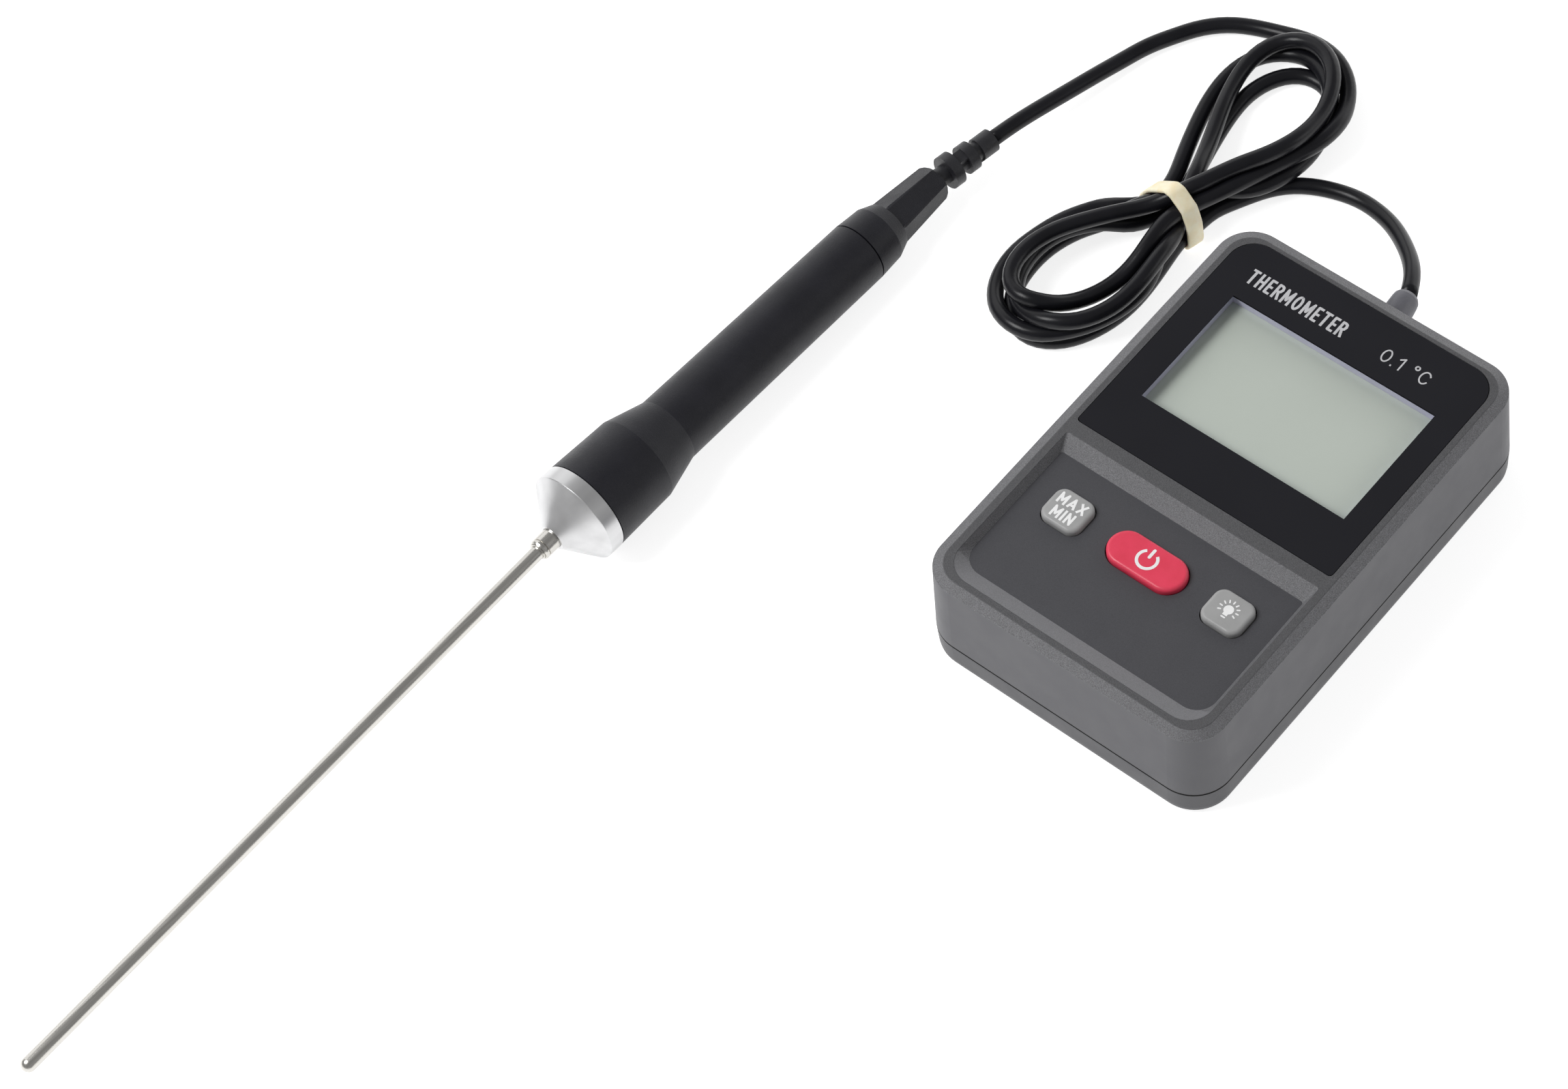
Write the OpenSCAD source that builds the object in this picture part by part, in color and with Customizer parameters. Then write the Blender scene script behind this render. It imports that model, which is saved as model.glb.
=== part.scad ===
// Handheld resistance thermometer: a meter with display and keys, a nine-volt block battery
// behind a door in its back, and a steel immersion probe on a cord tied into a hank.
// The origin is the centre of the meter's back; +Y points to its cord end, +Z out of its front.

/* [Meter case] */
// Width of the meter
case_w = 78; // [78:0.5:84]
// Length of the meter
case_l = 118; // [118:0.5:124]
// Height of the meter
case_h = 30.2; // [30.2:0.1:32]
// Radius of the case's corners
corner_r = 9.5; // [8:0.5:11]
// Height of the joint line between the rear and the front case
parting_z = 7.8; // [7.4:0.1:8.2]
// Thickness of the case walls
wall = 2; // [1.8:0.1:2.2]
// Depth of the sunken key field below the rim
key_field_depth = 2.2; // [1.8:0.1:2.4]

/* [Display] */
// Width of the display lens
lens_w = 68.4; // [66:0.2:69]
// Length of the display lens
lens_l = 61.8; // [58:0.2:62]
// Width of the clear window
window_w = 54.6; // [50:0.2:56]
// Length of the clear window
window_l = 33.1; // [30:0.2:34]
// Distance from the case centre to the window's centre
window_y = 23.45; // [22:0.05:24]

/* [Keys] */
// Width of a small key
small_key_w = 10.3; // [9:0.1:11]
// Length of a small key
small_key_l = 9.2; // [8:0.1:10]
// Width of the power key
power_key_w = 20; // [16:0.5:22]
// Distance from the centre line to the small keys
key_pitch = 21.6; // [20:0.2:23]
// How far the keys stand above the key field
key_rise = 1.5; // [1:0.1:2]
// How far a key can be pressed
key_travel = 0.8; // [0.3:0.1:0.8]

/* [Battery] */
// Length of the battery's body
battery_l = 46.4; // [46:0.1:46.8]
// Width of the battery
battery_w = 26.5; // [26:0.1:26.5]
// Thickness of the battery
battery_t = 17.5; // [17:0.1:17.5]

/* [Probe] */
// Radius of the immersion tube
tube_r = 1.75; // [1.5:0.05:2]
// Length of the immersion tube in front of its ferrule
tube_reach = 162.8; // [80:0.1:240]
// Lean of the immersion tube from the handle's axis, in degrees
tube_lean = 2.4; // [0:0.1:3]
// Radius of the handle's flange
flange_r = 11.7; // [11:0.1:12]
// Radius of the grip behind the flared collar
grip_r = 8.4; // [8.2:0.1:8.8]
// Radius of the grip at its rear end
grip_rear_r = 7.9; // [7.8:0.1:8.2]
// Lean of the strain relief from the handle's axis, in degrees
relief_lean = 7; // [0:0.5:10]

/* [Cord] */
// Diameter of the cord
cord_d = 4; // [3.6:0.1:4]
// Height of the tied hank
hank_h = 11.6; // [9:0.1:12]
// Width of the rubber band along the hank
band_w = 3.6; // [2:0.1:5]

/* [Hidden] */
$fn = 64;
gap = 0.05;                       // radial clearance between pieces that stay together
eps = 0.01;

// Meter case: heights
split = 0.4;                      // open line between the two case halves
rear_top = parting_z - split / 2;
front_bottom = parting_z + split / 2;
chamfer_z = case_h - 1.1;         // lower edge of the textured chamfer
chamfer_w = 2.5;
draft = 0.8;                      // how much narrower the case is at the chamfer
field_z = case_h - key_field_depth;
field_under = field_z - wall;
inner_w = case_w - 4.8;
inner_l = case_l - 4.8;
inner_r = corner_r - 1.9;
lip_z = 9.4;                      // top of the rear case's inner lip
boss_x = 32;
boss_y = 51.6;
boss_r = 3.2;
screw_r = 1.4;
head_r = 2.7;
head_z = 3.9;                     // underside of the screw heads

// Key field: outline at the rim and at its floor
rim_x = 34;
rim_low = -54.4;
rim_high = -10.7;
floor_x = 32.6;
floor_low = -50;
floor_high = -14.6;
key_y = -26.4;
key_top = field_z + key_rise;
flange_under = field_under - 0.8;
key_skirt = 1;                    // how far a key's flange reaches under the field
key_slack = 0.3;

// Display stack
lens_t = 1.3;
print_t = 0.15;
lens_seat = case_h - lens_t - print_t;
lens_low = -7.1;
lens_y = lens_low + lens_l / 2;
deck_under = 26.85;
glass_w = 61;
glass_l = 39;
glass_z = 24.3;
glass_top = 26.8;

// Circuit board
board_z = 21;
board_t = 1.6;
board_top = board_z + board_t;
board_w = 69;
board_l = 110;
board_posts = [[24, 49.5], [-24, 49.5], [31.5, -40], [-31.5, -40]];
switch_top = 24.1;

// Battery bay and door
bay_x = 26.8;
bay_low = -55;
bay_high = -27.6;
bay_roof = 20.1;
bay_wall = 1.4;
battery_x = -26.3;                // closed end of the battery
battery_z = 2.4;
battery_y = bay_low + 0.4;
stud_y = battery_y + battery_w / 2;
stud_z = battery_z + battery_t / 2;
stud_pitch = 12.7;
door_z = 0.2;
door_t = 2;
door_slack = 0.3;
hinge_y = bay_high;
hinge_z = door_z + door_t / 2;
hinge_pin_r = 0.6;

// Cable gland
gland_z = 15;
gland_lean = 8;
gland_foot = 58.7;
gland_reach = 12.3;
cord_r = cord_d / 2;

// Probe: stations along the handle's axis, forward of the flange's front edge
handle_at = [-117.15, -85, 11.95];
handle_tilt = 2.2;
handle_heading = -91.78;
cone_tip = 7.3;
flange_back = -3.8;
collar_back = -20.4;
neck_back = -30.7;
seam = -95.8;
nose_shoulder = -102.9;
nose_start = -106.9;
nose_end = -123;
relief_at = nose_end - 0.2;
relief_reach = 17.7;
ferrule_r = 2.62;
ferrule_reach = 4.4;
tube_tip = ferrule_reach + tube_reach;
tube_root_r = 2.1;                // a sleeve thickens the tube where the ferrule holds it
wall_start = ferrule_reach + 0.4;  // the bare tube starts where that sleeve ends
spigot_r = 8;
grip_bore = 6.2;
core_bore = 3;

// Hank: the round ends, the waist and the tie's place
hank_top = [-64, 109];
hank_bottom = [-72.4, 33.8];
hank_end_r = 18;
waist_at = [-64.5, 66];
waist_half = 9;
waist_turn = -11;                 // the hank's axis at the tie, in degrees from +Y
band_t = 0.9;

// The cord's route from the probe's strain relief to the hank
probe_route = [
    [-110.6, 55.5, 6.5], [-109.5, 62, 6.2], [-108.2, 68.5, 5.6], [-106.8, 75, 4.8],
    [-105.4, 81.5, 4], [-104, 88, 3.2], [-102.2, 95, 2.5], [-100.2, 102, 2.1],
    [-97, 108, 2], [-93.2, 114, 2], [-88.2, 118.6, 2], [-82.2, 121.6, 2], [-76, 123.2, 2]
];
// The cord's route from the hank to the meter's gland
meter_route = [
    [-58.6, 70.5, 2], [-56.4, 75.2, 2], [-54, 79.8, 2], [-51.2, 84.6, 2], [-47.4, 88.6, 2],
    [-42.8, 91.4, 2], [-37.4, 93.3, 2.1], [-32, 94, 2.6], [-26.4, 93, 3.7], [-20.8, 90.8, 5.4],
    [-15.6, 87.4, 7.6], [-11, 83.6, 10], [-7.2, 79.8, 12.2], [-4.2, 75.8, 13.9], [-1.8, 71, 15]
];

// ---- Shared shapes ----

// A rounded rectangle as an outline
module rounded_rect(w, l, r) {
    square([w - 2 * r, l], center = true);
    square([w, l - 2 * r], center = true);
    for (x = [-1, 1], y = [-1, 1]) translate([x * (w / 2 - r), y * (l / 2 - r)]) circle(r);
}

module rounded_prism(w, l, r, z0, z1) {
    translate([0, 0, z0]) linear_extrude(z1 - z0) rounded_rect(w, l, r);
}

// A rounded rectangle whose edge follows a profile of [distance from the corner's centre, height]
module profiled_slab(w, l, r, profile) {
    heights = [for (p = profile) p[1]];
    for (turn = [0 : 3]) rotate(turn * 90) {
        across = (turn % 2 == 0 ? w : l) / 2 - r;
        along = (turn % 2 == 0 ? l : w) / 2 - r;
        translate([across, along, 0]) rotate_extrude(angle = 90) polygon(profile);
        if (along > eps)
            translate([across, along, 0]) rotate([90, 0, 0]) linear_extrude(2 * along) polygon(profile);
    }
    if (w > 2 * r + eps && l > 2 * r + eps)
        translate([r - w / 2, r - l / 2, min(heights)])
            cube([w - 2 * r, l - 2 * r, max(heights) - min(heights)]);
}

// A straight round rod between two points
module rod(a, b, r) {
    d = b - a;
    translate(a)
        rotate([0, acos(d[2] / norm(d)), atan2(d[1], d[0])]) cylinder(r = r, h = norm(d));
}

// A tube swept along a route as one closed polyhedron
function unit(v) = v / norm(v);
function heading_at(route, i) =
    unit(route[min(i + 1, len(route) - 1)] - route[max(i - 1, 0)]);
function ring(route, i, r, sides) =
    let (t = heading_at(route, i), side = unit(cross(t, [0, 0, 1])), up = cross(side, t))
    [for (k = [0 : sides - 1])
        route[i] + r * (cos(k * 360 / sides) * side + sin(k * 360 / sides) * up)];

module swept_tube(route, r, sides = 8) {
    last = len(route) - 1;
    points = [for (i = [0 : last]) each ring(route, i, r, sides)];
    walls = [for (i = [0 : last - 1], k = [0 : sides - 1])
        let (a = i * sides, n = (k + 1) % sides) [a + k, a + sides + k, a + sides + n, a + n]];
    start = [for (k = [0 : sides - 1]) k];
    finish = [for (k = [sides - 1 : -1 : 0]) last * sides + k];
    polyhedron(points, concat(walls, [start, finish]));
}

// ---- Frames of the leaning pieces ----

// The handle's frame: +Z runs forward along its axis, +Y is level
module on_handle() {
    translate(handle_at) rotate([0, 90 - handle_tilt, handle_heading]) children();
}

module on_stem() {
    on_handle() translate([0, 0, cone_tip]) rotate([-tube_lean, 0, 0]) children();
}

module on_relief() {
    on_handle() translate([0, 0, relief_at]) rotate([180 + relief_lean, 0, 0]) children();
}

module on_gland_boot() {
    translate([0, gland_foot, gland_z]) rotate([-90, 0, gland_lean]) children();
}

module at_corner_screws() {
    for (x = [-1, 1], y = [-1, 1]) translate([x * boss_x, y * boss_y, 0]) children();
}

module at_board_posts() {
    for (p = board_posts) translate([p[0], p[1], 0]) children();
}

// ---- Meter case ----

// The key field narrows from the rim down to its floor; its cord end has square corners
module field_outline(half_w, low, high, r) {
    corner = 0.6;
    for (x = [-1, 1]) {
        translate([x * (half_w - r), low + r]) circle(r, $fn = 32);
        translate([x * (half_w - corner), high - corner]) circle(corner, $fn = 16);
    }
}

module key_field_space() {
    hull() {
        translate([0, 0, field_z]) linear_extrude(eps) field_outline(floor_x, floor_low, floor_high, 5);
        translate([0, 0, case_h]) linear_extrude(eps) field_outline(rim_x, rim_low, rim_high, 6.3);
    }
}

module key_outline(w, grow = 0) {
    r = w > 2 * small_key_l ? small_key_l / 2 : 2.6;
    rounded_rect(w + 2 * grow, small_key_l + 2 * grow, r + grow - (grow == 0 ? 0 : eps));
}

module at_keys() {
    translate([-key_pitch, key_y, 0]) children(0);
    translate([0, key_y, 0]) children(1);
    translate([key_pitch, key_y, 0]) children(0);
}

module front_shell() {
    profiled_slab(case_w, case_l, corner_r, [
        [0, front_bottom], [corner_r, front_bottom], [corner_r - draft, chamfer_z],
        [corner_r - draft - chamfer_w, case_h], [0, case_h]
    ]);
}

module front_case() {
    color("dimgray") difference() {
        union() {
            difference() {
                front_shell();
                rounded_prism(inner_w, inner_l, inner_r, front_bottom - 1, field_under);
                translate([0, lens_y, 0])
                    rounded_prism(lens_w - 1, lens_l - 1, 6, field_under - eps, deck_under);
            }
            at_corner_screws() translate([0, 0, lip_z + 0.2])
                cylinder(r = boss_r, h = field_under - lip_z);
            at_board_posts() translate([0, 0, board_top + gap])
                cylinder(r = 2.3, h = deck_under + 0.5 - board_top);
        }
        key_field_space();
        translate([0, lens_y, lens_seat]) lens_shape(0.15, lens_t + print_t + 1);
        translate([-window_w / 2, window_y - window_l / 2, deck_under - 1])
            cube([window_w, window_l, case_h]);
        at_keys() {
            translate([0, 0, field_under - 1]) linear_extrude(4) key_outline(small_key_w, key_slack);
            translate([0, 0, field_under - 1]) linear_extrude(4) key_outline(power_key_w, key_slack);
        }
        at_corner_screws() translate([0, 0, lip_z]) cylinder(r = screw_r + gap, h = 11);
        at_board_posts() translate([0, 0, board_top]) cylinder(r = 0.9 + gap, h = 3.6);
        translate([0, case_l / 2 + 1, gland_z]) rotate([90, 0, 0])
            cylinder(r = gland_neck_r + 0.1, h = 6);
    }
}

module battery_bay() {
    translate([-bay_x - bay_wall, bay_low - bay_wall, eps])
        cube([2 * (bay_x + bay_wall), bay_high - bay_low + bay_wall + 2.2, bay_roof + 0.8 - eps]);
}

module battery_bay_space() {
    lead_slot = [5.4, 3.5, 12];
    translate([-bay_x, bay_low, -1])
        cube([2 * bay_x, bay_high - bay_low, bay_roof + 1]);
    translate([bay_x - lead_slot[0] - 0.9, bay_high - 0.5, 7]) cube(lead_slot);
    // room for the door's rounded hinge edge, with its pins' holes at the ends
    translate([-bay_x, hinge_y, -1]) cube([2 * bay_x, 1.3, 1 + hinge_z]);
    translate([-bay_x, hinge_y, hinge_z]) rotate([0, 90, 0]) cylinder(r = 1.3, h = 2 * bay_x);
    translate([-bay_x - 1.3, hinge_y, hinge_z]) rotate([0, 90, 0])
        cylinder(r = hinge_pin_r + 0.06, h = 2 * bay_x + 2.6);
}

module rear_case() {
    floor_edge = [[0, 0], [7.9, 0], [8.7, 0.35], [9.2, 1.1], [9.35, 2.2], [corner_r, rear_top], [0, rear_top]];
    color("dimgray") difference() {
        union() {
            difference() {
                profiled_slab(case_w, case_l, corner_r, floor_edge);
                rounded_prism(inner_w, inner_l, inner_r, wall, rear_top + 1);
            }
            difference() {
                union() {
                    rounded_prism(inner_w + 0.2, inner_l + 0.2, inner_r + 0.1, 5, rear_top);
                    rounded_prism(inner_w - 0.4, inner_l - 0.4, inner_r - 0.2, 5, lip_z);
                }
                rounded_prism(inner_w - 2.4, inner_l - 2.4, inner_r - 1.2, 4, lip_z + 1);
            }
            intersection() {
                battery_bay();
                rounded_prism(inner_w - 0.4, inner_l - 0.4, inner_r - 0.2, 0, case_h);
            }
            at_corner_screws() {
                cylinder(r = 3.9, h = rear_top);
                cylinder(r = 3, h = lip_z);
            }
        }
        battery_bay_space();
        at_corner_screws() {
            translate([0, 0, -1]) cylinder(r = head_r + 0.2, h = head_z + 1 + gap);
            translate([0, 0, -1]) cylinder(r = screw_r + 0.2, h = lip_z + 2);
        }
        // shallow place for the rating label
        translate([-24, 8, -1]) cube([48, 30, 1.2]);
    }
}

module battery_door() {
    free_edge = bay_low + door_slack;
    half = bay_x - door_slack;
    color("dimgray") difference() {
        union() {
            translate([-half, free_edge, door_z]) cube([2 * half, hinge_y - free_edge, door_t]);
            translate([-half, hinge_y, hinge_z]) rotate([0, 90, 0])
                cylinder(r = door_t / 2, h = 2 * half);
            translate([-half - 1.3, hinge_y, hinge_z]) rotate([0, 90, 0])
                cylinder(r = hinge_pin_r, h = 2 * half + 2.6);
        }
        // finger groove and grip lines in the outer face
        translate([-7, free_edge + 2.5, door_z]) rotate([0, 90, 0]) cylinder(r = 1.1, h = 14);
        for (i = [1 : 3])
            translate([-6, free_edge + 4 + 1.6 * i, door_z - 1]) cube([12, 0.7, 1.3]);
    }
}

module case_screws() {
    color("silver") at_corner_screws() difference() {
        union() {
            translate([0, 0, head_z - 2]) cylinder(r = head_r, h = 2);
            translate([0, 0, head_z - eps]) cylinder(r = screw_r, h = 15);
        }
        translate([0, 0, head_z - 2.5]) for (turn = [0, 90])
            rotate(turn) translate([-1.5, -0.3, 0]) cube([3, 0.6, 1.6]);
    }
}

// ---- Display ----

// Large corners at the cord end, small ones beside the keys
module lens_outline(grow) {
    big = 6.5;
    small = 1;
    w = lens_w + 2 * grow;
    l = lens_l + 2 * grow;
    translate([0, -big / 2]) square([w, l - big - 2 * small], center = true);
    translate([0, (l - big) / 2]) square([w - 2 * big, big], center = true);
    translate([0, (small - l) / 2]) square([w - 2 * small, small], center = true);
    translate([-w / 2, small - l / 2 - eps]) square([w, l - big - small + eps]);
    for (x = [-1, 1]) {
        translate([x * (w / 2 - big), l / 2 - big]) circle(big);
        translate([x * (w / 2 - small), small - l / 2]) circle(small);
    }
}

module lens_shape(grow, h) {
    linear_extrude(h) lens_outline(grow);
}

module display_lens() {
    color([0.35, 0.36, 0.4, 0.45]) translate([0, lens_y, case_h - lens_t]) lens_shape(0, lens_t);
}

module window_print() {
    color("black") translate([0, lens_y, lens_seat + gap]) difference() {
        lens_shape(0, print_t - 2 * gap);
        translate([-window_w / 2, window_y - lens_y - window_l / 2, -1])
            cube([window_w, window_l, 3]);
    }
}

module display_glass() {
    color("darkseagreen")
        translate([-glass_w / 2, window_y - glass_l / 2, glass_z]) cube([glass_w, glass_l, glass_top - glass_z]);
}

module backlight_guide() {
    color("honeydew") translate([-29, window_y - 16.5, board_top + 0.1]) cube([58, 33, 1.5]);
}

module contact_strips() {
    color("pink") for (side = [-1, 1])
        translate([-28, window_y + side * 18 - 1.2, board_top + gap]) cube([56, 2.4, glass_z - board_top - 0.1]);
}

// ---- Electronics ----

module circuit_board() {
    notch = [7.5, 8];
    color("darkgreen") difference() {
        translate([-board_w / 2, -board_l / 2, board_z]) cube([board_w, board_l, board_t]);
        for (x = [-1, 1], y = [-1, 1])
            translate([x * (board_w - notch[0] + eps) / 2, y * (board_l - notch[1] + eps) / 2, board_z])
                cube([notch[0] + eps, notch[1] + eps, 4], center = true);
        at_board_posts() translate([0, 0, board_z - 1]) cylinder(r = 1.1, h = 4);
    }
}

module board_chips() {
    // [x, y, width, length, height] of each chip under the board
    chips = [
        [0, 22, 12, 12, 1.5], [-16, 4, 6, 5, 1.4], [-16, -8, 5, 4, 1.4], [14, 4, 8, 5, 1.8],
        [18, 26, 4, 11, 3.4], [-20, 30, 7, 4, 1.2], [8, -14, 3, 3, 1.2], [-4, -14, 3, 3, 1.2]
    ];
    color("black") for (c = chips)
        translate([c[0] - c[2] / 2, c[1] - c[3] / 2, board_z - c[4]]) cube([c[2], c[3], c[4] - eps]);
}

module key_switches() {
    color("silver") at_keys() {
        key_switch();
        key_switch();
    }
}

module key_switch() {
    translate([-3, -3, board_top + eps]) cube([6, 6, 1]);
    translate([0, 0, board_top + 1]) cylinder(r = 1.6, h = switch_top - board_top - 1);
}

module board_screws() {
    color("silver") at_board_posts() {
        translate([0, 0, board_z - 1.3]) cylinder(r = 1.8, h = 1.3 - eps);
        translate([0, 0, board_z - 0.5]) cylinder(r = 0.9, h = 4.8);
    }
}

// ---- Keys ----

// A key with a soft top edge and a flange that holds it under the key field
module key_cap(w) {
    r = w > 2 * small_key_l ? small_key_l / 2 : 2.6;
    round_r = 0.9;
    steps = 5;
    edge = [for (i = [0 : steps])
        let (a = 90 * i / steps) [r - round_r + round_r * cos(a), key_top - round_r + round_r * sin(a)]];
    profiled_slab(w, small_key_l, r, concat([[0, flange_under], [r, flange_under]], edge, [[0, key_top]]));
    translate([0, 0, flange_under]) linear_extrude(0.7) key_outline(w, key_skirt);
}

module key_max_min() {
    color("darkgray") translate([-key_pitch, key_y, 0]) key_cap(small_key_w);
}

module key_power() {
    color("crimson") translate([0, key_y, 0]) key_cap(power_key_w);
}

module key_light() {
    color("darkgray") translate([key_pitch, key_y, 0]) key_cap(small_key_w);
}

// ---- Battery ----

module battery_body() {
    color("beige") translate([battery_x, 0, 0]) rotate([90, 0, 90])
        translate([stud_y, stud_z, 0]) linear_extrude(battery_l) rounded_rect(battery_w, battery_t, 2);
}

module at_stud(side) {
    translate([battery_x + battery_l, stud_y + side * stud_pitch / 2, stud_z]) rotate([0, 90, 0]) children();
}

module battery_studs() {
    color("silver") {
        at_stud(-1) cylinder(r = 2.8, h = 2.4);
        at_stud(1) difference() {
            cylinder(r = 3.8, h = 2.4);
            translate([0, 0, 0.4]) cylinder(r = 2.9, h = 3);
        }
    }
}

module battery_snap() {
    face = battery_x + battery_l + 0.5;
    color("black") difference() {
        translate([face, stud_y - 12.8, stud_z - 6.4]) cube([4.9, 25.6, 12.8]);
        for (side = [-1, 1]) at_stud(side) cylinder(r = 4, h = 3.2);
    }
}

function lead_route(x, z) = [
    [x, bay_high - 0.9, z], [x, bay_high + 3.6, z], [x - 0.5, bay_high + 6.6, z + 1.6],
    [x - 1, bay_high + 8.2, z + 4], [x - 1, bay_high + 8.5, board_z - 0.05]
];

module snap_lead_red() {
    color("red") swept_tube(lead_route(24, 14.5), 0.7);
}

module snap_lead_black() {
    color("black") swept_tube(lead_route(21.8, 14.5), 0.7);
}

// ---- Cord at the meter ----

gland_neck_r = 3.75;

// A point on the leaning boot's axis, measured from its foot
function on_boot(d) =
    [-d * sin(gland_lean), gland_foot + d * cos(gland_lean), gland_z];

module cable_gland() {
    inner_y = inner_l / 2 - 0.1;
    color("dimgray") difference() {
        union() {
            translate([0, inner_y - 1.6, gland_z]) rotate([-90, 0, 0]) cylinder(r = 5.2, h = 1.6);
            translate([0, inner_y - eps, gland_z]) rotate([-90, 0, 0])
                cylinder(r = gland_neck_r, h = gland_foot + 0.5 - inner_y);
            on_gland_boot() rotate_extrude() polygon([
                [0, 0.2], [3.7, 0.2], [3.7, 3], [3.2, 10.2], [3.05, 11.2], [2.6, 12], [2.2, gland_reach],
                [0, gland_reach]
            ]);
        }
        translate([0, inner_y - 5, gland_z]) rotate([-90, 0, 0])
            cylinder(r = cord_r + 0.4, h = gland_foot + 5 - inner_y);
        on_gland_boot() cylinder(r = cord_r + gap, h = gland_reach + 1);
    }
}

module cord_tail_meter() {
    color("black") swept_tube([
        [0, 47, gland_z], [0, 51, gland_z], [0, 55, gland_z], [0, 57.6, gland_z],
        on_boot(0.8), on_boot(4), on_boot(8), on_boot(gland_reach)
    ], cord_r);
}

module meter_wires() {
    color("orange") for (i = [-1.5 : 1.5]) swept_tube([
        [i * 0.9, 46.9, gland_z], [i * 1.1, 45, gland_z + 0.2], [i * 1.6, 42, gland_z + 1.4],
        [i * 2, 40.4, board_z - 3.4], [i * 2, 40, board_z - 2.1]
    ], 0.35, 6);
}

module wire_header() {
    color("white") translate([-5, 37.5, board_z - 2]) cube([10, 5, 2 - eps]);
}

module cord_to_meter() {
    color("black") swept_tube(meter_route, cord_r);
}

module cord_to_probe() {
    color("black") swept_tube(probe_route, cord_r);
}

// ---- Hank ----

module hank_outline() {
    translate(hank_top) circle(hank_end_r);
    translate(hank_bottom) circle(hank_end_r);
    polygon([
        hank_top + [-hank_end_r, -3], waist_at + waist_half * [-1, 0.2], hank_bottom + [-hank_end_r + 1, 6],
        hank_bottom, hank_bottom + [hank_end_r, 2], waist_at + waist_half * [1, -0.2],
        hank_top + [hank_end_r - 1, -6], hank_top
    ]);
}

module at_waist() {
    translate([waist_at[0], waist_at[1], 0]) rotate(waist_turn) children();
}

// The band's loop round the waist, seen along the hank
module band_section(shrink) {
    w = 2 * (waist_half + 0.2 - shrink);
    h = hank_h - 2 * shrink;
    translate([0, hank_h / 2]) rounded_rect(w, h, 3.6 - shrink);
}

module along_waist(length) {
    at_waist() translate([0, length / 2, 0]) rotate([90, 0, 0]) linear_extrude(length) children();
}

module cord_hank() {
    color("black") difference() {
        linear_extrude(hank_h) hank_outline();
        along_waist(band_w + 0.2) difference() {
            translate([0, hank_h / 2]) square([30, 30], center = true);
            band_section(band_t + gap);
        }
    }
}

module hank_band() {
    color("wheat") along_waist(band_w) difference() {
        band_section(0);
        band_section(band_t);
    }
}

// ---- Cord at the probe ----

module strain_relief() {
    // [start, finish, radius] of each rib along the relief
    ribs = [[3.3, 6, 4.3], [8.7, 11.4, 3.7], [13.2, relief_reach, 3]];
    color("black") difference() {
        union() {
            on_handle() translate([0, 0, relief_at - 0.5]) cylinder(r = core_bore - gap, h = 11.5);
            on_relief() {
                translate([0, 0, 0.2]) cylinder(r = 2.45, h = relief_reach - 0.4);
                for (rib = ribs) translate([0, 0, rib[0]]) cylinder(r = rib[2], h = rib[1] - rib[0]);
                // bridges between the ribs, on alternate sides
                for (i = [0 : 2]) rotate(40 + 150 * i) translate([1, -1.5, i == 0 ? 0.8 : ribs[i - 1][1] - 0.2])
                    cube([ribs[i][2] - 1.4, 3, 2.9]);
            }
        }
        on_handle() translate([0, 0, relief_at]) cylinder(r = cord_r + 0.4, h = 14);
        on_relief() translate([0, 0, -0.6]) cylinder(r = cord_r + gap, h = relief_reach + 2);
    }
}

// Points in the handle's frame, for pieces whose route bends out of it
function from_handle(p) =
    let (tilted = [p[0] * sin(handle_tilt) + p[2] * cos(handle_tilt), p[1],
                   p[2] * sin(handle_tilt) - p[0] * cos(handle_tilt)])
    handle_at + [
        tilted[0] * cos(handle_heading) - tilted[1] * sin(handle_heading),
        tilted[0] * sin(handle_heading) + tilted[1] * cos(handle_heading), tilted[2]
    ];

function on_relief_axis(d) =
    from_handle([0, d * sin(relief_lean), relief_at - d * cos(relief_lean)]);

module cord_tail_probe() {
    color("black") swept_tube([
        from_handle([0, 0, -97]), from_handle([0, 0, -103]), from_handle([0, 0, -109]),
        from_handle([0, 0, -115]), from_handle([0, 0, -121]), on_relief_axis(1.2),
        on_relief_axis(6), on_relief_axis(12), on_relief_axis(relief_reach)
    ], cord_r);
}

module cord_tie() {
    color("white") on_handle() translate([0, 0, -101]) difference() {
        union() {
            cylinder(r = cord_r + 1, h = 2.5);
            translate([cord_r, -1.8, 0]) cube([2.4, 3.6, 2.5]);
        }
        translate([0, 0, -1]) cylinder(r = cord_r + gap, h = 5);
    }
}

// Four of the same, round the handle's axis
module four_round() {
    for (turn = [0 : 90 : 270]) rotate(turn) children();
}

module tail_wires() {
    color("orange") on_handle() four_round() rod([1, 0, -97 + gap], [2.2, 0, -70 - gap], 0.35);
}

module splice_sleeves() {
    color("lightgray") on_handle() four_round() translate([2.2, 0, -70]) cylinder(r = 0.8, h = 12);
}

module lead_wires() {
    color("white") on_handle() four_round() rod([2.2, 0, -58 + gap], [1.5, 0, -15.6], 0.35);
}

module lead_potting() {
    color("darkslategray") on_handle() translate([0, 0, -15.5]) cylinder(r = 3.9, h = 6.5);
}

// ---- Handle ----

module handle_end_cap() {
    flat = 0.9;
    color([0.12, 0.12, 0.13]) on_handle() difference() {
        rotate_extrude() polygon([
            [0, seam + 8], [grip_bore - 0.1, seam + 8], [grip_bore - 0.1, seam - gap], [grip_rear_r, seam - 0.3],
            [7.4, nose_shoulder], [5.9, nose_start], [4.75, nose_end + 0.7], [4.2, nose_end], [0, nose_end]
        ]);
        // six flats along the tapering nose
        for (turn = [30 : 60 : 330]) rotate(turn)
            translate([5.9 * flat, -6, nose_start + 0.6]) rotate([0, 4.2, 0])
                translate([0, 0, -24]) cube([6, 12, 24]);
        translate([0, 0, -104]) cylinder(r = 5, h = 20);
        translate([0, 0, nose_end - 1]) cylinder(r = core_bore, h = 30);
    }
}

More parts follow.
